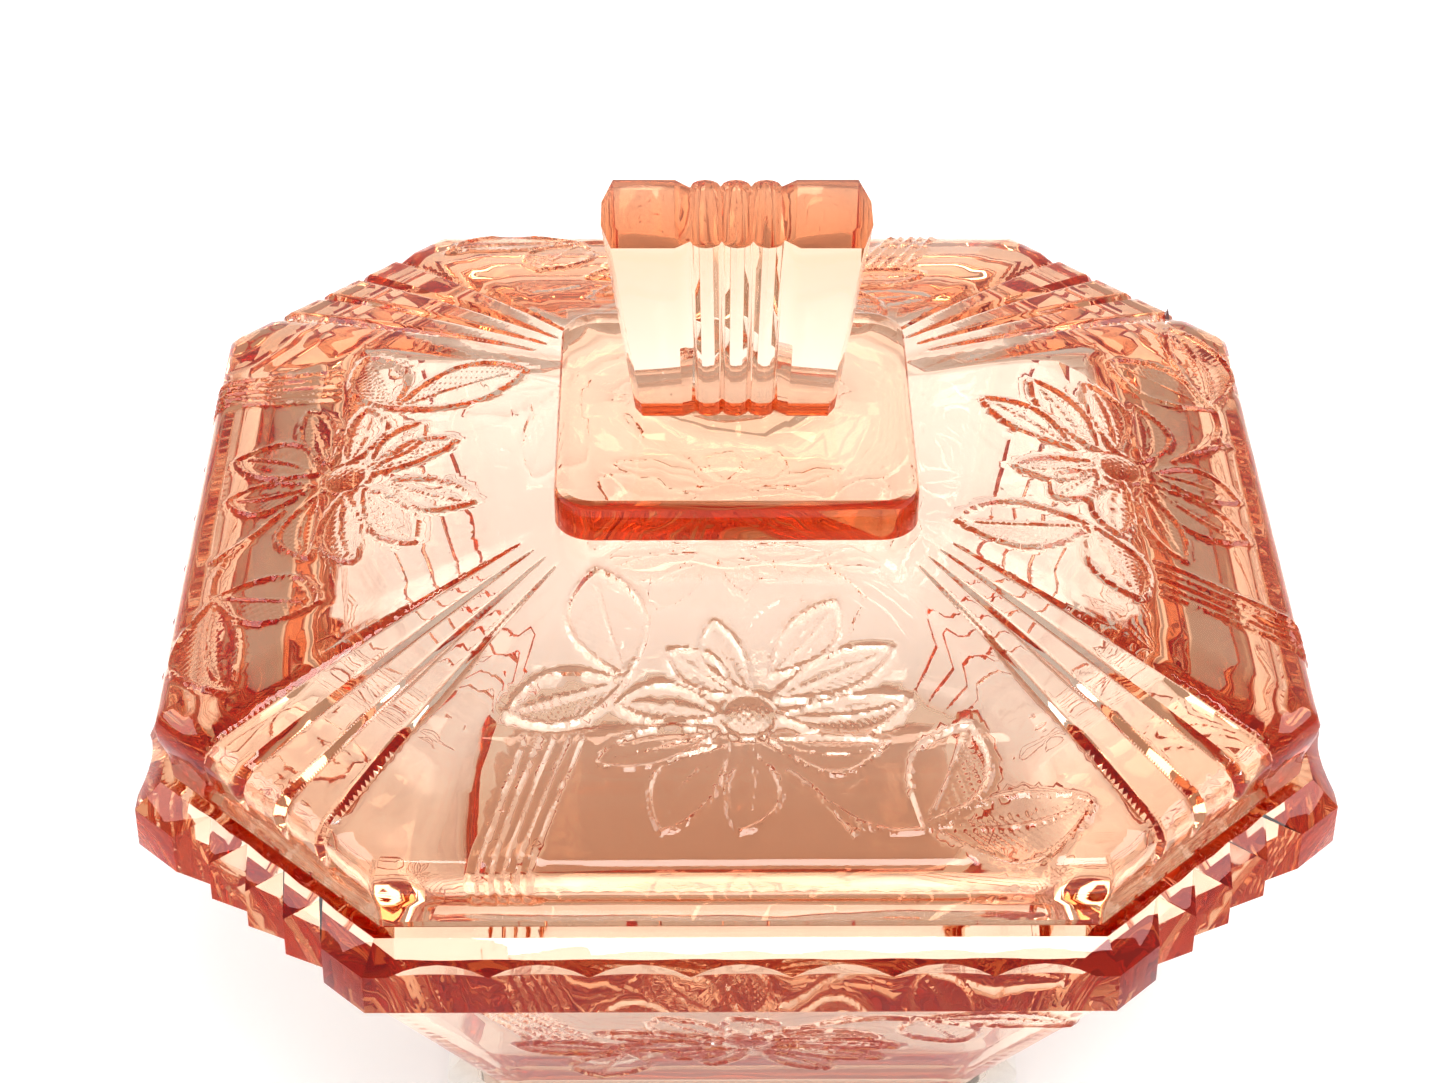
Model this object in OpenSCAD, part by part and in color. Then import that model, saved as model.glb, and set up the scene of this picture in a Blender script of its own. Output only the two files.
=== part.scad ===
// Covered candy dish of pressed glass: a deep square dish with cut corners and a fluted rim,
// and a lid of the same plan with a flared, fluted knob. Both are single pressings.
// The origin is at the centre of the foot's underside. +X runs along the knob, +Z is up.

/* [Overall] */
// Length of the rim
length = 150; // [136:1:170]
// Width of the rim
width = 150; // [136:1:170]
// Leg of the rim's four corner chamfers
corner = 30.5; // [28:0.5:33]
// Height from the table to the underside of the rim
rim_z = 58; // [50:1:66]

/* [Dish] */
// How far the wall leans in for each millimetre down
wall_lean = 0.7; // [0.55:0.01:0.72]
// Horizontal thickness of the wall at the floor
wall_t = 5.6; // [4.6:0.1:6.4]
// Thickness of the floor above the foot
floor_t = 6; // [5:0.5:8]
// Height of the foot
foot_h = 6; // [5:0.5:8]

/* [Rim] */
// Height of the rim's outer face
rim_face = 5.6; // [5:0.1:6.5]
// Width of the bevel above the outer face
rim_bevel = 3.3; // [3:0.1:3.8]
// Pitch of the corner notches along X and along Y
notch_pitch = 5; // [4:0.1:5]
// Notches in each corner
notches = 4; // [2:1:4]
// Width of each scooped flute on the straight sides
flute_w = 11.9; // [11:0.1:12.4]
// Depth of a flute at the top of the outer face
flute_d = 0.9; // [0.6:0.1:1.2]

/* [Lid] */
// Gap between the rim's outline and the lid's foot
lid_inset = 4.8; // [4.4:0.1:5.4]
// Height of the lid's upright lip
lip_h = 3.8; // [3:0.1:4.5]
// Height of the lid's shoulder above its seat
shoulder_h = 11.6; // [10:0.1:13]
// Height of the plinth's foot above the seat
dome_h = 22.4; // [20:0.1:28]
// Thickness of the dome
dome_t = 4.4; // [4:0.1:5]
// Clearance between the lid's locating ring and the dish
ring_gap = 0.8; // [0.5:0.1:1.2]
// Depth of the locating ring
ring_h = 2.6; // [2:0.1:3]
// Grooves in each corner fan
grooves = 4; // [2:1:4]
// Depth of a fan groove at the shoulder
groove_d = 1.3; // [0.8:0.1:1.5]

/* [Knob] */
// Length of the plinth
plinth_l = 46; // [42:0.2:52]
// Width of the plinth
plinth_w = 46; // [42:0.2:52]
// Height of the plinth
plinth_h = 5.4; // [4:0.1:7]
// Length of the knob across its top
knob_l = 34; // [30:0.5:38]
// Thickness of the knob across its top
knob_t = 17; // [14:0.5:18]
// Height of the knob above the plinth
knob_h = 28.4; // [26:0.2:32]
// Pitch of the knob's flutes at its top
knob_flute_pitch = 3.9; // [3.4:0.1:4.2]
// Depth of the knob's flutes at its top
knob_flute_d = 2; // [1.4:0.1:2.2]

/* [Hidden] */
glass = [0.93, 0.66, 0.54, 0.55];
eps = 0.01;
// An octagon's chamfer leg shortens by this much for each unit that its sides move in
leg_loss = 2 - sqrt(2);

hx = length / 2;
hy = width / 2;
seat_z = rim_z + rim_face + rim_bevel;

// Dish, as insets from the rim's outline
mouth_in = 8;
under_in = 3.4;
under_drop = 2.6;
wall_top_z = rim_z - under_drop;
wall_end_in = under_in + wall_lean * (wall_top_z - foot_h);
floor_z = foot_h + floor_t;
throat_z = rim_z + 1;
floor_in = under_in + wall_lean * (wall_top_z - floor_z) + wall_t;
foot_spread = 2.5;
foot_recess = 1.5;
foot_rib = 6;

// Lid, as insets from the rim's outline
lip_z = seat_z + lip_h;
shoulder_z = seat_z + shoulder_h;
dome_z = seat_z + dome_h;
ring_in = mouth_in + ring_gap;
ring_t = 3.4;
hollow_in = ring_in + ring_t;
// The hollow's side leans in by this much under the dome
hollow_lean = 11;
lip_in = lid_inset - 0.3;
brow_in = lid_inset - 1.6;
brow_z = seat_z + shoulder_h * 0.74;
shoulder_in = lid_inset + 1.8;
// The dome's panels bulge by this much above straight ones
crown = 0.9;

plinth_z = dome_z + plinth_h;
plinth_r = 5;
plinth_sink = 3;
knob_z = plinth_z + knob_h;
// The knob is this fraction of its top's length and thickness where it meets the plinth
knob_foot_l = 0.76;
knob_foot_t = 0.35;
knob_foot_flute = 0.86;
// Its faces are this fraction of its length, and its blunt ends this fraction of its thickness
knob_face = 0.92;
knob_end = 0.34;

// Corners of an octagon with half sides ax and ay and chamfer leg c, counter-clockwise
function octagon(ax, ay, c) = [
    [ax, c - ay], [ax, ay - c], [ax - c, ay], [c - ax, ay],
    [-ax, ay - c], [-ax, c - ay], [c - ax, -ay], [ax - c, -ay]
];

// A ring of the rim's outline moved in by an inset, at a height
function ring(inset, z) = [hx - inset, hy - inset, corner - leg_loss * inset, z];

// A solid through octagonal rings [half x, half y, chamfer leg, height], bottom to top
module loft(rings) {
    n = 8;
    top = len(rings) - 1;
    points = [for (r = rings) for (p = octagon(r[0], r[1], r[2])) [p[0], p[1], r[3]]];
    sides = [for (k = [0:top - 1]) for (i = [0:n - 1])
        [k * n + i, (k + 1) * n + i, (k + 1) * n + (i + 1) % n, k * n + (i + 1) % n]];
    lower = [[for (i = [0:n - 1]) i]];
    upper = [[for (i = [0:n - 1]) top * n + n - 1 - i]];
    polyhedron(points, concat(lower, sides, upper));
}

// A V-shaped cutter from a start point to an end point. Each end is [point, half width, depth].
// The cutter's top is raised by lift, so that it clears the surface that it cuts.
module vee(start, finish, across, lift) {
    ends = [start, finish];
    points = [for (e = ends) for (side = [-1, 1, 0])
        e[0] + side * across * e[1] * (1 + lift / max(e[2], eps))
            + [0, 0, side == 0 ? -e[2] : lift]];
    polyhedron(points, [[0, 1, 2], [3, 5, 4], [0, 3, 4, 1], [1, 4, 5, 2], [2, 5, 3, 0]]);
}

module at_four_corners() {
    for (sx = [0, 1]) for (sy = [0, 1])
        mirror([sx, 0, 0]) mirror([0, sy, 0]) children();
}

// Square notches stepped along one corner chamfer of the rim
module corner_notches() {
    middle = [hx - corner / 2, hy - corner / 2];
    tall = rim_face + rim_bevel + under_drop + 4;
    for (i = [0:notches - 1]) {
        s = (i - (notches - 1) / 2) * notch_pitch;
        translate([middle[0] + s - notch_pitch / 2, middle[1] - s - notch_pitch / 2, rim_z - under_drop - 2])
            cube([notch_pitch + eps, notch_pitch + eps, tall]);
    }
}

// Shallow scoops along the straight side that faces -Y when the rim is span by reach
module side_flutes(span, reach) {
    count = floor((span - 2 * corner) / flute_w);
    radius = (pow(flute_w / 2, 2) + pow(flute_d, 2)) / (2 * flute_d);
    lean = atan(flute_d / rim_face);
    for (i = [0:count - 1])
        translate([(i - (count - 1) / 2) * flute_w, -reach / 2 - radius + flute_d, rim_z + rim_face])
            rotate([lean, 0, 0])
                translate([0, 0, -rim_face - under_drop])
                    cylinder(r = radius, h = rim_face + rim_bevel + under_drop + 2, $fn = 96);
}

module dish_body() {
    difference() {
        loft([
            ring(wall_end_in - foot_spread, 0),
            ring(wall_end_in - foot_spread, foot_h / 2),
            ring(wall_end_in, foot_h),
            ring(under_in, wall_top_z),
            ring(0, rim_z),
            ring(0, rim_z + rim_face),
            ring(rim_bevel, seat_z)
        ]);
        loft([
            ring(floor_in + 4, floor_z),
            ring(floor_in, floor_z + 2.6),
            ring(mouth_in, throat_z),
            ring(mouth_in, seat_z + 1)
        ]);
        loft([
            ring(wall_end_in - foot_spread + foot_rib, -1),
            ring(wall_end_in - foot_spread + foot_rib, foot_recess)
        ]);
    }
}

module dish() {
    color(glass) difference() {
        dish_body();
        at_four_corners() corner_notches();
        for (a = [0, 180]) rotate(a) side_flutes(length, width);
        for (a = [90, 270]) rotate(a) side_flutes(width, length);
    }
}

// Four grooves that fan out from one corner of the plinth to the shoulder
module corner_fan() {
    near = [plinth_l / 2 + 1.5, plinth_w / 2 + 1.5, dome_z - 2];
    far = [hx - shoulder_in - corner / 2 + 1, hy - shoulder_in - corner / 2 + 1, shoulder_z];
    // The fan is this much narrower at the plinth than at the shoulder
    gather = 0.3;
    // The grooves run on past the shoulder, so that the falling surface ends them
    run_on = 1.25;
    for (i = [0:grooves - 1]) {
        s = (i - (grooves - 1) / 2) * notch_pitch;
        start = near + gather * [s, -s, 0];
        step = far + [s, -s, 0] - start;
        vee([start, eps, eps], [start + run_on * step, groove_d, groove_d],
            [1, -1, 0] / sqrt(2), 4);
    }
}

module dome() {
    half = 0.5;
    outer_mid = [
        (hx - shoulder_in + plinth_l / 2) * half,
        (hy - shoulder_in + plinth_w / 2) * half,
        (corner - leg_loss * shoulder_in + plinth_r) * half,
        (shoulder_z + dome_z) * half + crown
    ];
    difference() {
        union() {
            loft([
                ring(lid_inset, seat_z),
                ring(lip_in, lip_z),
                ring(brow_in + 0.3, brow_z - 2),
                ring(brow_in, brow_z),
                ring(brow_in + 0.7, brow_z + 1.5),
                ring(shoulder_in, shoulder_z),
                outer_mid,
                [plinth_l / 2, plinth_w / 2, plinth_r, dome_z],
                [plinth_l / 2 - 4, plinth_w / 2 - 4, plinth_r, dome_z + eps]
            ]);
            loft([ring(ring_in, seat_z - ring_h), ring(ring_in, seat_z + 1)]);
        }
        loft([
            ring(hollow_in - 0.8, seat_z - ring_h - 1),
            ring(hollow_in + hollow_lean * 0.55, seat_z + 2.5),
            ring(hollow_in + hollow_lean, shoulder_z - 1),
            outer_mid - [2, 2, 1, dome_t + 0.3],
            [plinth_l / 2 - 2, plinth_w / 2 - 2, plinth_r, dome_z - dome_t - 0.6]
        ]);
    }
}

module plinth() {
    translate([0, 0, dome_z - plinth_sink])
        linear_extrude(plinth_h + plinth_sink)
            for (turned = [0, 1])
                union() {
                    square([plinth_l - 2 * plinth_r * turned, plinth_w - 2 * plinth_r * (1 - turned)],
                        center = true);
                    for (sx = [-1, 1]) for (sy = [-1, 1])
                        translate([sx * (plinth_l / 2 - plinth_r), sy * (plinth_w / 2 - plinth_r)])
                            circle(plinth_r, $fn = 48);
                }
}

// Outline of the knob at a height, as [x, y, z] points: its short sides come to a blunt ridge
function knob_outline(l, t, z) =
    [for (p = [
        [1, -knob_end], [1, knob_end], [knob_face, 1], [-knob_face, 1],
        [-1, knob_end], [-1, -knob_end], [-knob_face, -1], [knob_face, -1]
    ]) [p[0] * l / 2, p[1] * t / 2, z]];

module knob() {
    below = plinth_z - 1;
    // Carried on down into the plinth at the same slopes
    sunk = 1 / knob_h;
    foot_l = knob_l * (knob_foot_l - sunk * (1 - knob_foot_l));
    foot_t = knob_t * (knob_foot_t - sunk * (1 - knob_foot_t));
    points = concat(knob_outline(foot_l, foot_t, below), knob_outline(knob_l, knob_t, knob_z));
    sides = [for (i = [0:7]) [i, i + 8, (i + 1) % 8 + 8, (i + 1) % 8]];
    difference() {
        polyhedron(points, concat([[0, 1, 2, 3, 4, 5, 6, 7]], sides, [[15, 14, 13, 12, 11, 10, 9, 8]]));
        for (a = [0, 180]) rotate(a) knob_flutes();
    }
}

// Four V-shaped flutes up the knob's face that looks to -Y
module knob_flutes() {
    count = 4;
    rise = knob_h + 1;
    foot_y = -knob_t / 2 * knob_foot_t;
    top_y = -knob_t / 2 - (knob_t / 2 - knob_t / 2 * knob_foot_t) / knob_h;
    foot_d = knob_flute_d * 0.5;
    for (i = [0:count - 1]) {
        x = (i - (count - 1) / 2) * knob_flute_pitch;
        fx = x * knob_foot_flute;
        half = knob_flute_pitch * 0.47;
        out = 1.5;
        points = [
            [fx - half * knob_foot_flute * (1 + out / foot_d), foot_y - out, plinth_z],
            [fx + half * knob_foot_flute * (1 + out / foot_d), foot_y - out, plinth_z],
            [fx, foot_y + foot_d, plinth_z],
            [x - half * (1 + out / knob_flute_d), top_y - out, plinth_z + rise],
            [x + half * (1 + out / knob_flute_d), top_y - out, plinth_z + rise],
            [x, top_y + knob_flute_d, plinth_z + rise]
        ];
        polyhedron(points, [[0, 1, 2], [3, 5, 4], [0, 3, 4, 1], [1, 4, 5, 2], [2, 5, 3, 0]]);
    }
}

module lid() {
    color(glass) {
        difference() {
            dome();
            at_four_corners() corner_fan();
        }
        plinth();
        knob();
    }
}

dish();
lid();
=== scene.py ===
import math

import bmesh
import bpy
import numpy as np
from mathutils import Matrix, Vector


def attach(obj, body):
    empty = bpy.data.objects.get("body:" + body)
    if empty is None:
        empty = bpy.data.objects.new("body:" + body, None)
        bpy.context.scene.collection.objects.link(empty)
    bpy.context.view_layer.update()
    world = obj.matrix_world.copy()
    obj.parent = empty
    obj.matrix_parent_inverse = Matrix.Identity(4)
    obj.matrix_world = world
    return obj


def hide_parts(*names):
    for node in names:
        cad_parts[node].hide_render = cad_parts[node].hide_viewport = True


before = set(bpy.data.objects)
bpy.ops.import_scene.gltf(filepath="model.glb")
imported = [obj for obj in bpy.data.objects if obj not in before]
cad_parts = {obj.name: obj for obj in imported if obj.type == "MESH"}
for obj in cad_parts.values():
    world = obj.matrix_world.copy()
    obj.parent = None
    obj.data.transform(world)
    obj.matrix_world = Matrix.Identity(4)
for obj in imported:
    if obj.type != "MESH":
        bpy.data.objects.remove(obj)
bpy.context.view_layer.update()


# ---------------------------------------------------------------------------
# The dish: soda-lime glass pressed in one piece, from the foot to the notched and fluted rim.
# The mould's outer half carries the flower pattern, so it stands proud of the four walls.
# ---------------------------------------------------------------------------
MM = 0.001
RIM_HALF = 75.0
RIM_LEG = 30.5
# A chamfer's leg shortens by this much for each unit that the sides move in
LEG_LOSS = 2 - math.sqrt(2)

RIM_Z = 58.0
RIM_TOP_Z = 63.6
SEAT_Z = 66.9
RIM_BEVEL = 3.3
UNDER_IN = 3.4
WALL_TOP_Z = 55.4
WALL_LEAN = 0.70
FOOT_H = 6.0
FLOOR_Z = 12.0
MOUTH_IN = 8.0
THROAT_Z = 59.0
WALL_T = 5.6

FLUTE_PITCH = 11.9
FLUTES = 7
FLUTE_STEPS = 6
FLUTE_DEEP = 1.07
NOTCH_PITCH = 5.0
NOTCHES = 4
NOTCH_DEEP = 3.54

# Faces with this material index carry the relief until the mesh is finished
PLAIN, PATTERNED = 0, 1


def spread(start, end, count):
    """Evenly spaced values from start to end, both included."""
    return [start + (end - start) * i / count for i in range(count + 1)]


# Points along a side, as fractions of its half length, with how deep in a flute each one lies
side_half = RIM_HALF - RIM_LEG
fluted_half = FLUTES * FLUTE_PITCH / 2
side_stops = [(-1.0, 0.0)]
for k in range(FLUTES * FLUTE_STEPS + 1):
    across = (k % FLUTE_STEPS) / FLUTE_STEPS * 2 - 1
    scoop = 1 - across * across
    side_stops.append(((k * FLUTE_PITCH / FLUTE_STEPS - fluted_half) / side_half, scoop))
side_stops.append((1.0, 0.0))
# Points along a chamfer, as fractions of it: tips are 0 and notch bottoms are 1
corner_stops = []
for k in range(2 * NOTCHES + 1):
    corner_stops.append((0.5 + (k - NOTCHES) * NOTCH_PITCH / 2 / RIM_LEG, k % 2))


def dish_ring(bm, inset, z, flute=0.0, rise=0.0, notch=0.0, notch_rise=0.0):
    """One closed ring of the dish at an inset from the rim's outline."""
    half = RIM_HALF - inset
    leg = RIM_LEG - LEG_LOSS * inset
    verts = []
    for quarter in range(4):
        turn = Matrix.Rotation(quarter * math.pi / 2, 3, "Z")
        points = []
        for at, deep in side_stops:
            points.append((at * (half - leg), -half + flute * deep, z + rise * deep))
        for at, valley in corner_stops:
            back = notch * valley / math.sqrt(2)
            points.append((half - leg + leg * at - back, -half + leg * at + back, z + notch_rise * valley))
        verts += [bm.verts.new(turn @ Vector(p) * MM) for p in points]
    return verts


def join_rings(bm, rings, patterned=()):
    """Skins each ring to the next one. Strips whose number is in patterned carry the relief."""
    for number, (lower, upper) in enumerate(zip(rings, rings[1:])):
        for k in range(len(lower)):
            near, far = lower[k - 1], upper[k - 1]
            face = bm.faces.new((near, lower[k], upper[k], far))
            face.material_index = PATTERNED if number in patterned else PLAIN


def cap(bm, ring, margin):
    """Closes a ring with a flat face, whose edge strip keeps the rounding off its middle."""
    face = bm.faces.new(ring)
    bmesh.ops.inset_region(bm, faces=[face], thickness=margin * MM, use_even_offset=True)


def round_edges(bm, radius, angle, segments=2, keep=None):
    """Rounds the edges that turn by more than angle, as the fire polish does."""
    sharp = [e for e in bm.edges if len(e.link_faces) == 2 and e.calc_face_angle(0) > math.radians(angle)]
    if keep:
        sharp = [e for e in sharp if keep(e)]
    bmesh.ops.bevel(bm, geom=sharp, offset=radius * MM, affect="EDGES", segments=segments,
                    profile=0.5, material=-1, clamp_overlap=True)


# The pattern is drawn in millimetres on one panel: x runs to the right, and d runs from the
# centre of the piece out to its edge. The other three panels are the same, each a quarter turn on.
FLOWER = (1.0, 51.0)
# Petals: foot, tip, bulge to the left and to the right of the line from foot to tip, hatched side
PETALS = [
    ((3.8, 45.0), (12.0, 33.5), 2.4, 3.7, 1),
    ((4.3, 48.5), (18.8, 41.0), 2.8, 3.0, 1),
    ((4.8, 51.0), (20.5, 48.5), 1.4, 4.2, 1),
    ((3.6, 54.2), (17.5, 54.5), 0.4, 4.8, 1),
    ((1.4, 55.4), (-0.3, 67.0), 4.3, 2.2, -1),
    ((-1.5, 55.0), (-9.5, 67.0), 2.4, 5.0, 1),
    ((-2.9, 53.3), (-17.5, 57.6), 2.4, 2.7, -1),
    ((-2.2, 51.0), (-14.7, 49.3), 1.8, 3.7, -1),
    ((-0.7, 48.0), (-8.6, 41.4), 2.5, 2.8, -1),
    ((1.2, 47.6), (-3.0, 36.7), 3.6, 1.4, 1),
]
LEAVES = [
    ((21.5, 66.5), (27.7, 52.2), 4.6, 4.6, 1),
    ((21.5, 66.0), (41.5, 62.6), 2.0, 6.6, 1),
    ((-13.7, 45.5), (-17.7, 28.0), 5.2, 4.4, -1),
    ((-13.9, 46.0), (-27.8, 50.6), 3.6, 3.9, -1),
]
STEMS = [
    [(5.6, 59.0), (9.0, 62.0), (11.5, 65.0), (13.4, 67.6)],
    [(10.6, 63.4), (14.0, 66.0), (17.5, 67.0), (21.5, 66.8)],
]
# Five straight lines that part a little on their way up from the edge
BAND_LINES = 5
BAND_FOOT, BAND_TOP = (-32.5, 77.0), (-25.9, 54.0)
BAND_PITCH, BAND_SPREAD = 1.75, 0.8
# The flower's seeded eye
EYE_WIDE, EYE_TALL = 3.5, 3.3
EYE_HIGH = 0.6
SEED_PITCH, SEED_HIGH = 1.1, 0.18

LINE_HALF, LINE_HIGH = 0.48, 0.42
HATCH_PITCH, HATCH_HIGH, HATCH_SLANT = 1.0, 0.08, 0.9
# Petals and leaves swell by this much between their edges
SWELL = 0.12
# Their width grows and falls along them as a sine, with these powers to shape it
BLADE_SKEW, BLADE_ROUND = 1.15, 0.8
# A line's pull on the mesh ends this far from it
REACH = 3.0


def blade(foot, tip, bulge, steps=14):
    """One edge of a petal or leaf, from its foot to its tip."""
    foot, tip = Vector(foot), Vector(tip)
    along = tip - foot
    side = Vector((along.y, -along.x)).normalized()
    return [tuple(foot + along * t + side * bulge * math.sin(math.pi * t ** BLADE_SKEW) ** BLADE_ROUND)
            for t in spread(0, 1, steps)]


ridges = []
blades = PETALS + LEAVES
for foot, tip, left, right, _ in blades:
    ridges.append((blade(foot, tip, left), LINE_HALF, LINE_HIGH))
    ridges.append((blade(foot, tip, -right), LINE_HALF, LINE_HIGH))
    rib = blade(foot, tip, (left - right) * 0.45)[1:-2]
    ridges.append((rib, LINE_HALF * 0.8, LINE_HIGH * 0.6))
for stem in STEMS:
    ridges.append((stem, LINE_HALF, LINE_HIGH))
for k in range(BAND_LINES):
    shift = k * BAND_PITCH
    line = [(BAND_FOOT[0] + shift * BAND_SPREAD, BAND_FOOT[1]), (BAND_TOP[0] + shift, BAND_TOP[1])]
    ridges.append((line, LINE_HALF * 0.9, LINE_HIGH * 0.8))
eye = [(FLOWER[0] + EYE_WIDE * math.cos(a), FLOWER[1] + EYE_TALL * math.sin(a))
       for a in spread(0, 2 * math.pi, 24)]
ridges.append((eye, LINE_HALF * 0.8, LINE_HIGH * 0.7))


def line_distance(points, line):
    """How far each point is from a line of straight runs."""
    best = np.full(len(points), REACH)
    for a, b in zip(line, line[1:]):
        a, b = np.array(a), np.array(b)
        run = b - a
        t = np.clip(((points - a) @ run) / max(run @ run, 1e-9), 0, 1)
        best = np.minimum(best, np.linalg.norm(points - a - t[:, None] * run, axis=1))
    return best


def close_to(points, line):
    """Which points lie within reach of a line's box."""
    low, high = np.min(line, axis=0) - REACH, np.max(line, axis=0) + REACH
    return np.nonzero(((points > low) & (points < high)).all(axis=1))[0]


def in_blade(points, foot, tip, left, right):
    """Places inside a petal or leaf: which points, how far along, and how far across from -1 to 1."""
    which = close_to(points, [foot, tip])
    far = close_to(points, [np.array(foot) - 4, np.array(tip) + 4])
    which = np.union1d(which, far).astype(int)
    foot, tip = np.array(foot), np.array(tip)
    along = tip - foot
    length = np.linalg.norm(along)
    side = np.array((along[1], -along[0])) / length
    local = points[which] - foot
    t = local @ along / length ** 2
    s = local @ side
    width = np.sin(np.pi * np.clip(t, 0, 1) ** BLADE_SKEW) ** BLADE_ROUND
    across = np.where(s > 0, s / (left * width + 1e-6), s / (right * width + 1e-6))
    inside = (t > 0.02) & (t < 0.98) & (np.abs(across) < 1)
    return which[inside], t[inside] * length, s[inside], across[inside]


def pattern_distance(points):
    """Distance to the nearest part of the pattern that needs a fine mesh."""
    best = np.full(len(points), REACH)
    for line, _, _ in ridges:
        which = close_to(points, line)
        best[which] = np.minimum(best[which], line_distance(points[which], line))
    for foot, tip, left, right, hatched in blades:
        which, _, _, across = in_blade(points, foot, tip, left, right)
        best[which[across * hatched < 0.1]] = 0
    best[np.hypot(points[:, 0] - FLOWER[0], points[:, 1] - FLOWER[1]) < EYE_WIDE] = 0
    return best


def pattern_height(points):
    """Height of the pattern above the plain glass."""
    height = np.zeros(len(points))
    for foot, tip, left, right, hatched in blades:
        which, t, s, across = in_blade(points, foot, tip, left, right)
        swell = SWELL * (1 - across ** 2)
        combed = across * hatched < -0.08
        phase = (t - HATCH_SLANT * np.abs(s)) / HATCH_PITCH
        teeth = 0.02 + HATCH_HIGH * np.cos(2 * np.pi * phase) * (1 - across ** 4)
        height[which] = np.maximum(height[which], np.where(combed, teeth, swell))
    for line, half, high in ridges:
        which = close_to(points, line)
        d = line_distance(points[which], line) / half
        height[which] = np.maximum(height[which], high * np.clip(1 - d * d, 0, 1) ** 1.5)
    offset = points - np.array(FLOWER)
    radius = np.hypot(offset[:, 0] / EYE_WIDE, offset[:, 1] / EYE_TALL)
    grid = np.cos(offset * 2 * np.pi / SEED_PITCH)
    seeds = SEED_HIGH * grid[:, 0] * grid[:, 1] * (1 - radius)
    return np.where(radius < 1, np.maximum(height, EYE_HIGH * (1 - radius ** 2) + seeds), height)


def turn_to_front(x, y):
    """Turns each place by quarter turns to the front panel, as across and out."""
    front = (-y >= np.abs(x))
    right = (x > np.abs(y))
    back = (y >= np.abs(x)) & ~front
    across = np.where(front, x, np.where(right, y, np.where(back, -x, -y)))
    out = np.where(front, -y, np.where(right, x, np.where(back, y, -x)))
    return across, out


# The grooves across each corner, one for each notch
FAN_DEEP, FAN_HALF = 1.1, 1.0
# The mesh stays fine for this share of their length past their end
FAN_PAST = 0.2


def fan_grooves(points, start, end, gather):
    """Depth of the four grooves that fan out across a corner, from start to end out along it."""
    x, y = np.abs(points[:, 0]), np.abs(points[:, 1])
    depth = np.zeros(len(points))
    for k in range(NOTCHES):
        s = (k - (NOTCHES - 1) / 2) * NOTCH_PITCH
        a = np.array((start + gather * s, start - gather * s))
        b = np.array((end + s, end - s))
        run = b - a
        local = np.stack([x, y], axis=1) - a
        t = local @ run / (run @ run)
        off = np.abs(local @ np.array((run[1], -run[0]))) / np.linalg.norm(run)
        grow = np.clip(t, 0, 1) ** 0.5
        vee = np.clip(1 - off / (FAN_HALF * grow + 0.02), 0, 1)
        depth = np.maximum(depth, np.where(t > 0, FAN_DEEP * grow * vee, 0))
    return depth


def corner_distance(points, start, end, gather):
    """Distance to the fan grooves' own lines."""
    x, y = np.abs(points[:, 0]), np.abs(points[:, 1])
    flat = np.stack([x, y], axis=1)
    best = np.full(len(points), REACH)
    past = end + FAN_PAST * (end - start)
    for k in range(NOTCHES):
        s = (k - (NOTCHES - 1) / 2) * NOTCH_PITCH
        line = [(start + gather * s, start - gather * s), (past + s, past - s)]
        best = np.minimum(best, np.maximum(line_distance(flat, line) - FAN_HALF * 0.6, 0))
    return best


def many_sided(bm):
    return [f for f in bm.faces if f.material_index == PATTERNED and len(f.verts) > 3]


def refine(bm, distance, fine, coarse, rounds):
    """Halves the patterned faces' edges until those close to the pattern are short."""
    for _ in range(rounds):
        bmesh.ops.triangulate(bm, faces=many_sided(bm))
        edges = [e for e in bm.edges if any(f.material_index == PATTERNED for f in e.link_faces)]
        ends = np.array([(*e.verts[0].co, *e.verts[1].co) for e in edges]) / MM
        length = np.linalg.norm(ends[:, :3] - ends[:, 3:], axis=1)
        limit = np.clip(fine + distance((ends[:, :3] + ends[:, 3:]) / 2) * 0.9, fine, coarse)
        cut = [edges[i] for i in np.nonzero(length > limit)[0]]
        if not cut:
            break
        bmesh.ops.subdivide_edges(bm, edges=cut, cuts=1, use_grid_fill=True)
    bmesh.ops.poke(bm, faces=many_sided(bm))


def press(bm, height):
    """Moves the patterned faces' vertices out along their normals by the pattern's height."""
    bm.normal_update()
    verts = [v for v in bm.verts if any(f.material_index == PATTERNED for f in v.link_faces)]
    places = np.array([v.co for v in verts]) / MM
    for v, move in zip(verts, height(places)):
        v.co += v.normal * float(move) * MM


def finished(bm, name, body):
    """Turns a closed shell into a piece that rides on a CAD body and stands for its node."""
    for face in bm.faces:
        face.material_index = PLAIN
        face.smooth = True
    mesh = bpy.data.meshes.new(name)
    bm.to_mesh(mesh)
    bm.free()
    mesh.set_sharp_from_angle(angle=math.radians(42))
    piece = bpy.data.objects.new(name, mesh)
    bpy.context.collection.objects.link(piece)
    mesh.materials.append(pink_glass)
    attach(piece, body)
    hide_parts(body)


# Pressed soda-lime glass, coloured pink all through with a little selenium. Thin walls look pale
# peach, and the long way through an edge looks deep orange. The fire polish leaves the skin glossy
# and very slightly wavy.
def linear(hex_colour):
    """An sRGB hex colour as linear RGBA."""
    channels = [int(hex_colour[i:i + 2], 16) / 255 for i in (1, 3, 5)]
    return [c / 12.92 if c <= 0.04045 else ((c + 0.055) / 1.055) ** 2.4 for c in channels] + [1.0]


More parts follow.
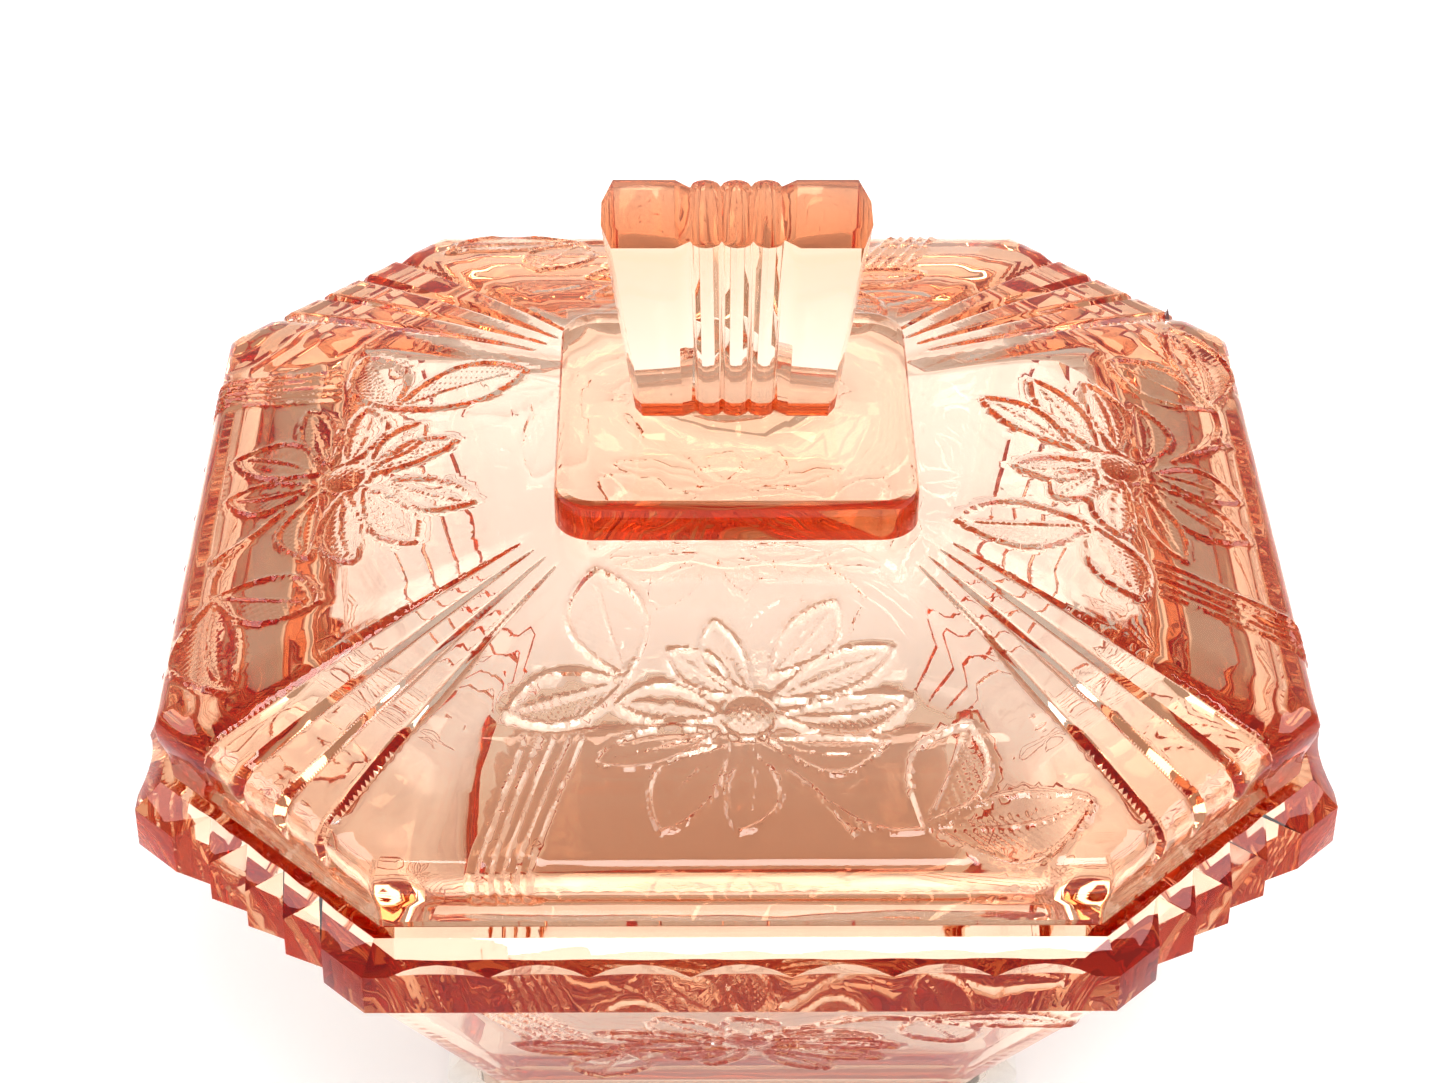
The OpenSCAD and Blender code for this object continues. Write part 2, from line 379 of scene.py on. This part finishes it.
def add_node(material, kind, links=(), **settings):
    """Adds a node with its sockets' values set, and links (from socket, to socket name)."""
    node = material.node_tree.nodes.new(kind)
    for key, value in settings.items():
        if key in node.inputs:
            node.inputs[key].default_value = value
        else:
            setattr(node, key, value)
    for source, socket in links:
        material.node_tree.links.new(source, node.inputs[socket])
    return node


pink_glass = bpy.data.materials.new("pressed_soda_lime_glass_pink")
pink_glass.use_nodes = True
pink_glass.node_tree.nodes.clear()
place = add_node(pink_glass, "ShaderNodeTexCoord").outputs["Object"]
# Waves about 14 mm long, left by the mould's cooler skin
waves = add_node(pink_glass, "ShaderNodeTexNoise", [(place, "Vector")], Scale=70.0, Detail=1.0)
skin = add_node(pink_glass, "ShaderNodeBump", [(waves.outputs["Fac"], "Height")],
                Strength=0.12, Distance=1.2 * MM)
glass = add_node(pink_glass, "ShaderNodeBsdfPrincipled", [(skin.outputs["Normal"], "Normal")],
                 Roughness=0.0, IOR=1.52)
glass.inputs["Base Color"].default_value = linear("#FFFFFF")
glass.inputs["Transmission Weight"].default_value = 1.0
tint = add_node(pink_glass, "ShaderNodeVolumeAbsorption", Density=45.0)
tint.inputs["Color"].default_value = (0.885, 0.445, 0.075, 1.0)
add_node(pink_glass, "ShaderNodeOutputMaterial",
         [(glass.outputs["BSDF"], "Surface"), (tint.outputs["Volume"], "Volume")])

WALL_END_IN = UNDER_IN + WALL_LEAN * (WALL_TOP_Z - FOOT_H)
WALL_STEPS = 22
FLOOR_IN = UNDER_IN + WALL_LEAN * (WALL_TOP_Z - FLOOR_Z) + WALL_T
FOOT_IN = WALL_END_IN - 2.5
# Wall distances are measured down its slope
SLOPE = math.hypot(1, WALL_LEAN)

bm = bmesh.new()
outside = [
    dish_ring(bm, FOOT_IN + 6, 1.5),
    dish_ring(bm, FOOT_IN + 6, 0),
    dish_ring(bm, FOOT_IN, 0),
    dish_ring(bm, FOOT_IN, FOOT_H / 2),
]
for z in spread(FOOT_H, WALL_TOP_Z, WALL_STEPS)[:-1]:
    outside.append(dish_ring(bm, UNDER_IN + WALL_LEAN * (WALL_TOP_Z - z), z))
wall_strips = range(4, 4 + WALL_STEPS)
outside += [
    dish_ring(bm, UNDER_IN, WALL_TOP_Z, notch=NOTCH_DEEP - UNDER_IN),
    dish_ring(bm, 0, RIM_Z, notch=NOTCH_DEEP, notch_rise=WALL_TOP_Z - RIM_Z),
    dish_ring(bm, 0, RIM_TOP_Z, flute=FLUTE_DEEP, rise=FLUTE_DEEP,
              notch=NOTCH_DEEP, notch_rise=SEAT_Z - RIM_TOP_Z),
    dish_ring(bm, RIM_BEVEL, SEAT_Z, notch=NOTCH_DEEP - RIM_BEVEL),
    dish_ring(bm, 4.6, SEAT_Z),
    dish_ring(bm, MOUTH_IN - 0.6, SEAT_Z),
    dish_ring(bm, MOUTH_IN, SEAT_Z - 0.6),
    dish_ring(bm, MOUTH_IN, THROAT_Z),
    dish_ring(bm, FLOOR_IN - 2.8, FLOOR_Z + 4.0),
    dish_ring(bm, FLOOR_IN - 0.4, FLOOR_Z + 1.6),
    dish_ring(bm, FLOOR_IN + 2.0, FLOOR_Z + 0.4),
    dish_ring(bm, FLOOR_IN + 4.5, FLOOR_Z),
]
join_rings(bm, outside, wall_strips)
cap(bm, outside[0], 1.5)
cap(bm, outside[-1], 1.5)
bmesh.ops.remove_doubles(bm, verts=bm.verts, dist=0.02 * MM)
bmesh.ops.recalc_face_normals(bm, faces=bm.faces)
round_edges(bm, 0.45, 24, keep=lambda e: min(v.co.z for v in e.verts) > (WALL_TOP_Z - 0.1) * MM
            or max(v.co.z for v in e.verts) < (FOOT_H + 0.1) * MM)


def on_wall(points):
    """Places on the walls in the pattern's own millimetres, the rim's edge at 73 out."""
    across, _ = turn_to_front(points[:, 0], points[:, 1])
    return np.stack([across, 73 - (WALL_TOP_Z - points[:, 2]) * SLOPE], axis=1)


# The corner grooves run down from the notches and die out by the foot. A fan's three values are
# where it starts and ends, in millimetres out along X and Y, and how far its lines gather there.
WALL_FAN = (24.0, 56.5, 0.3)


def wall_distance(points):
    return np.minimum(pattern_distance(on_wall(points)), corner_distance(points, *WALL_FAN) + 0.25)


def wall_height(points):
    fade = np.clip((WALL_TOP_Z - points[:, 2]) / 1.0, 0, 1) * np.clip((points[:, 2] - FOOT_H) / 3.0, 0, 1)
    return fade * (pattern_height(on_wall(points)) - fan_grooves(points, *WALL_FAN))


refine(bm, wall_distance, 0.62, 3.0, 4)
press(bm, wall_height)
finished(bm, "dish_glass", "dish")


# ---------------------------------------------------------------------------
# The lid: pressed in one piece with its plinth and knob. It is thick at its edge, where it sits
# on the dish's ledge, and a low ring under it keeps it centred.
# ---------------------------------------------------------------------------
LID_GAP = 0.12
LID_IN = 4.8
LIP_Z = SEAT_Z + 3.8
# The outside between the lip and the shoulder, as (inset from the rim's outline, height)
EDGE = [(3.5, 73.5), (3.2, 75.5), (3.7, 76.8), (4.9, 77.9)]
SHOULDER_IN, SHOULDER_Z = 6.6, 78.5
DOME_Z = 89.3
PLINTH_HALF, PLINTH_R = 23.0, 5.0
PLINTH_Z = 94.7
CROWN = 0.9
SIDE_CUTS, CORNER_CUTS, DOME_STEPS = 36, 10, 16


def lid_ring(bm, half, leg, z, roundness=0.0):
    """One closed ring of the lid. Its corners go from straight chamfers to quarter circles."""
    verts = []
    for quarter in range(4):
        turn = Matrix.Rotation(quarter * math.pi / 2, 3, "Z")
        points = [(x, -half) for x in spread(leg - half, half - leg, SIDE_CUTS)]
        for t in spread(0, 1, CORNER_CUTS)[1:-1]:
            angle = t * math.pi / 2
            arc = Vector((half - leg + leg * math.sin(angle), leg - half - leg * math.cos(angle)))
            chamfer = Vector((half - leg + leg * t, leg * t - half))
            points.append(chamfer.lerp(arc, roundness))
        verts += [bm.verts.new(turn @ Vector((p[0], p[1], z)) * MM) for p in points]
    return verts


def inset_ring(bm, inset, z):
    return lid_ring(bm, RIM_HALF - inset, RIM_LEG - LEG_LOSS * inset, z)


# The hollow under the lid, out to its side, and the locating ring round it
HOLLOW_IN = 12.2
HOLLOW_HALF, HOLLOW_LEG = RIM_HALF - HOLLOW_IN, RIM_LEG - LEG_LOSS * HOLLOW_IN
RING_IN, RING_H = 8.8, 2.6
# The hollow's side, as (how far in, how much shorter its corner's leg is, height)
HOLLOW_SIDE = [(9.4, 5.2, 74.8), (7.8, 4.4, 72.0), (6.0, 3.4, 69.4)]
# The ceiling slopes from over the plinth's edge down to the top of that side
CEILING_HALF, CEILING_LEG, CEILING_Z = PLINTH_HALF + 1, 6.5, DOME_Z - 5.1
SIDE_TOP_HALF, SIDE_TOP_LEG = HOLLOW_HALF - 11, HOLLOW_LEG - 6.2
CEILING_FALL, CEILING_STEPS = 6.9, 8

bm = bmesh.new()
shell = [
    lid_ring(bm, PLINTH_HALF - 4, 6.0, CEILING_Z + 0.5),
    lid_ring(bm, CEILING_HALF, CEILING_LEG, CEILING_Z),
]
for t in spread(0, 1, CEILING_STEPS)[1:]:
    half = CEILING_HALF + (SIDE_TOP_HALF - CEILING_HALF) * t
    leg = CEILING_LEG + (SIDE_TOP_LEG - CEILING_LEG) * t
    shell.append(lid_ring(bm, half, leg, CEILING_Z - CEILING_FALL * t + CROWN * 4 * t * (1 - t)))
shell += [lid_ring(bm, HOLLOW_HALF - inwards, HOLLOW_LEG - shorter, z) for inwards, shorter, z in HOLLOW_SIDE]
shell += [
    lid_ring(bm, HOLLOW_HALF, HOLLOW_LEG, SEAT_Z - RING_H + 0.8),
    lid_ring(bm, HOLLOW_HALF + 0.8, HOLLOW_LEG + 0.4, SEAT_Z - RING_H),
    inset_ring(bm, RING_IN, SEAT_Z - RING_H),
    inset_ring(bm, RING_IN, SEAT_Z + LID_GAP),
    inset_ring(bm, LID_IN, SEAT_Z + LID_GAP),
    inset_ring(bm, LID_IN - 0.3, LIP_Z),
]
shell += [inset_ring(bm, inset, z) for inset, z in EDGE]
first_dome = len(shell)
shoulder_leg = RIM_LEG - LEG_LOSS * SHOULDER_IN
for t in spread(0, 1, DOME_STEPS):
    half = RIM_HALF - SHOULDER_IN + (PLINTH_HALF - RIM_HALF + SHOULDER_IN) * t
    leg = shoulder_leg + (PLINTH_R - shoulder_leg) * t
    z = SHOULDER_Z + (DOME_Z - SHOULDER_Z) * t + CROWN * 4 * t * (1 - t)
    shell.append(lid_ring(bm, half, leg, z, t ** 6))
shell += [
    lid_ring(bm, PLINTH_HALF, PLINTH_R, PLINTH_Z - 1.0, 1.0),
    lid_ring(bm, PLINTH_HALF - 0.3, PLINTH_R - 0.3, PLINTH_Z - 0.3, 1.0),
    lid_ring(bm, PLINTH_HALF - 1.0, PLINTH_R - 1.0, PLINTH_Z, 1.0),
]
join_rings(bm, shell, range(first_dome - len(EDGE) - 1, first_dome + DOME_STEPS))
cap(bm, shell[0], 1.5)

# The knob flares upwards. Its two broad faces have four V-shaped flutes each.
KNOB_Z = 123.1
KNOB_L, KNOB_T = 34.0, 17.0
KNOB_FOOT_L, KNOB_FOOT_T = 0.76, 0.35
KNOB_FACE, KNOB_END = 0.92, 0.34
KNOB_PITCH, KNOB_FLUTE = 3.9, 2.0
KNOB_STEPS = 8


def knob_ring(bm, t):
    """A ring of the knob at a height from 0, its foot, to 1, its top."""
    l = KNOB_L / 2 * (KNOB_FOOT_L + (1 - KNOB_FOOT_L) * t)
    w = KNOB_T / 2 * (KNOB_FOOT_T + (1 - KNOB_FOOT_T) * t)
    pitch = KNOB_PITCH * (0.86 + 0.14 * t)
    deep = KNOB_FLUTE * (0.7 + 0.3 * t)
    face = [(-l * KNOB_FACE, -w), (-2 * pitch, -w)]
    for k in range(-3, 4):
        # Each reed is a rounded pillar between two sharp grooves
        for u in (-1.0, -0.8, -0.45, 0.0, 0.45, 0.8) if k % 2 == 0 else ():
            face.append(((k + u) * pitch / 2, -w + deep * (1 - math.sqrt(1 - u * u * 0.98))))
    face += [(1.5 * pitch, -w + deep), (2 * pitch, -w), (l * KNOB_FACE, -w), (l, -w * KNOB_END)]
    points = face + [(l, w * KNOB_END)]
    points += [(-x, -y) for x, y in face] + [(-l, -w * KNOB_END)]
    z = PLINTH_Z + (KNOB_Z - PLINTH_Z) * t
    return [bm.verts.new(Vector((x, y, z)) * MM) for x, y in dict.fromkeys(points)]


knob = [knob_ring(bm, t) for t in spread(0, 1, KNOB_STEPS)]
join_rings(bm, knob)
cap(bm, knob[-1], 0.8)
rims = [e for e in bm.edges if e.is_boundary]
bmesh.ops.triangle_fill(bm, edges=rims, use_beauty=True, normal=(0, 0, 1))
bmesh.ops.remove_doubles(bm, verts=bm.verts, dist=0.01 * MM)
bmesh.ops.recalc_face_normals(bm, faces=bm.faces)
round_edges(bm, 0.4, 22, keep=lambda e: min(v.co.z for v in e.verts) > (PLINTH_Z - 0.1) * MM)


# Edges that rise by less than this count as level
LEVEL = 0.2
# The hollow's side lies between the first and second of these, and the lid's edge is past the third
HOLLOW_FROM, HOLLOW_TO, EDGE_FROM = 45.0, 64.0, 66.0


def on_lid_rim(edge):
    """Level edges under the lip, and the upright corner lines of the lid's outside."""
    low, high = sorted(v.co.z / MM for v in edge.verts)
    if high - low < LEVEL:
        return high < LIP_Z - LEVEL
    return all(max(abs(v.co.x), abs(v.co.y)) > EDGE_FROM * MM for v in edge.verts)


def in_hollow(edge):
    """The upright corner lines of the hollow under the lid."""
    low, high = sorted(v.co.z / MM for v in edge.verts)
    return high - low > LEVEL and all(HOLLOW_FROM < max(abs(v.co.x), abs(v.co.y)) / MM < HOLLOW_TO
                                      for v in edge.verts)


round_edges(bm, 0.5, 20, keep=on_lid_rim)
round_edges(bm, 2.0, 20, segments=4, keep=in_hollow)

LID_FAN = (24.5, 54.2, 0.3)


def on_lid(points):
    return np.stack(turn_to_front(points[:, 0], points[:, 1]), axis=1)


def lid_distance(points):
    return np.minimum(pattern_distance(on_lid(points)), corner_distance(points, *LID_FAN))


def lid_height(points):
    fade = np.clip((points[:, 2] - LIP_Z - 1.0) / 2.0, 0, 1)
    return fade * (pattern_height(on_lid(points)) - fan_grooves(points, *LID_FAN))


refine(bm, lid_distance, 0.5, 3.0, 4)
press(bm, lid_height)
finished(bm, "lid_glass", "lid")


# ---------------------------------------------------------------------------
# The studio: a white paper table that is lit from below too, in an even white room. A soft light
# over the camera and one on each side put the highlights on the glass.
# ---------------------------------------------------------------------------
FLOOR_CORNERS = ((-3, -2, 0), (3, -2, 0), (3, 3, 0), (-3, 3, 0))
sweep = bmesh.new()
corners = [sweep.verts.new(Vector(p)) for p in FLOOR_CORNERS]
sweep.faces.new(corners)
floor_mesh = bpy.data.meshes.new("floor")
sweep.to_mesh(floor_mesh)
sweep.free()
floor = bpy.data.objects.new("floor", floor_mesh)
bpy.context.collection.objects.link(floor)
# Matt white paper
paper = bpy.data.materials.new("matt_white_paper")
paper.use_nodes = True
fibres = paper.node_tree.nodes["Principled BSDF"]
fibres.inputs["Base Color"].default_value = linear("#F4F4F4")
fibres.inputs["Roughness"].default_value = 0.9
# The table is lit from below as well, so little shadow is left on it
fibres.inputs["Emission Color"].default_value = linear("#FFFFFF")
fibres.inputs["Emission Strength"].default_value = 0.3
floor_mesh.materials.append(paper)

world = bpy.data.worlds.new("white_room")
bpy.context.scene.world = world
world.use_nodes = True
world.node_tree.nodes.clear()
direction = add_node(world, "ShaderNodeTexCoord").outputs["Generated"]
parts = add_node(world, "ShaderNodeSeparateXYZ", [(direction, "Vector")])
shade = add_node(world, "ShaderNodeValToRGB", [(parts.outputs["Y"], "Fac")])
shade.color_ramp.elements[0].position = 0.0
shade.color_ramp.elements[0].color = linear("#F5F5F5")
shade.color_ramp.elements[1].position = 0.5
shade.color_ramp.elements[1].color = linear("#FFFFFF")
sky = add_node(world, "ShaderNodeBackground", [(shade.outputs["Color"], "Color")], Strength=0.72)
add_node(world, "ShaderNodeOutputWorld", [(sky.outputs["Background"], "Surface")])


LIT_POINT = (0, 0, 0.05)


def soft_light(name, place, width, height, power):
    """A soft rectangular light, turned to the middle of the dish."""
    lamp = bpy.data.lights.new(name, "AREA")
    lamp.shape = "RECTANGLE"
    lamp.size, lamp.size_y, lamp.energy = width, height, power
    holder = bpy.data.objects.new(name, lamp)
    bpy.context.collection.objects.link(holder)
    holder.location = place
    holder.rotation_euler = (Vector(LIT_POINT) - Vector(place)).to_track_quat("-Z", "Y").to_euler()


soft_light("over_camera", (0.12, -0.45, 0.75), 0.4, 0.3, 3.5)
soft_light("left", (-0.8, 0.1, 0.6), 0.5, 0.5, 3)
soft_light("right", (0.8, 0.1, 0.6), 0.5, 0.5, 3)

CAMERA_DOWN, CAMERA_AZ, CAMERA_ROLL = math.radians(35.83), math.radians(0.87), math.radians(0.43)
view = bpy.data.cameras.new("camera")
view.sensor_width = 36
view.lens = 83.6
view.clip_start = 0.02
camera = bpy.data.objects.new("camera", view)
bpy.context.collection.objects.link(camera)
turn = (Matrix.Rotation(-CAMERA_AZ, 4, "Z") @ Matrix.Rotation(math.pi / 2 - CAMERA_DOWN, 4, "X")
        @ Matrix.Rotation(CAMERA_ROLL, 4, "Z"))
camera.matrix_world = Matrix.Translation((-0.00713, -0.36367, 0.3351)) @ turn
bpy.context.scene.camera = camera
bpy.context.scene.view_settings.view_transform = "Standard"
bpy.context.scene.view_settings.gamma = 0.8
# Light that is trapped inside thick glass reflects many times before it finds its way out
cycles = bpy.context.scene.cycles
cycles.max_bounces = 40
cycles.transmission_bounces = 32
cycles.glossy_bounces = 32
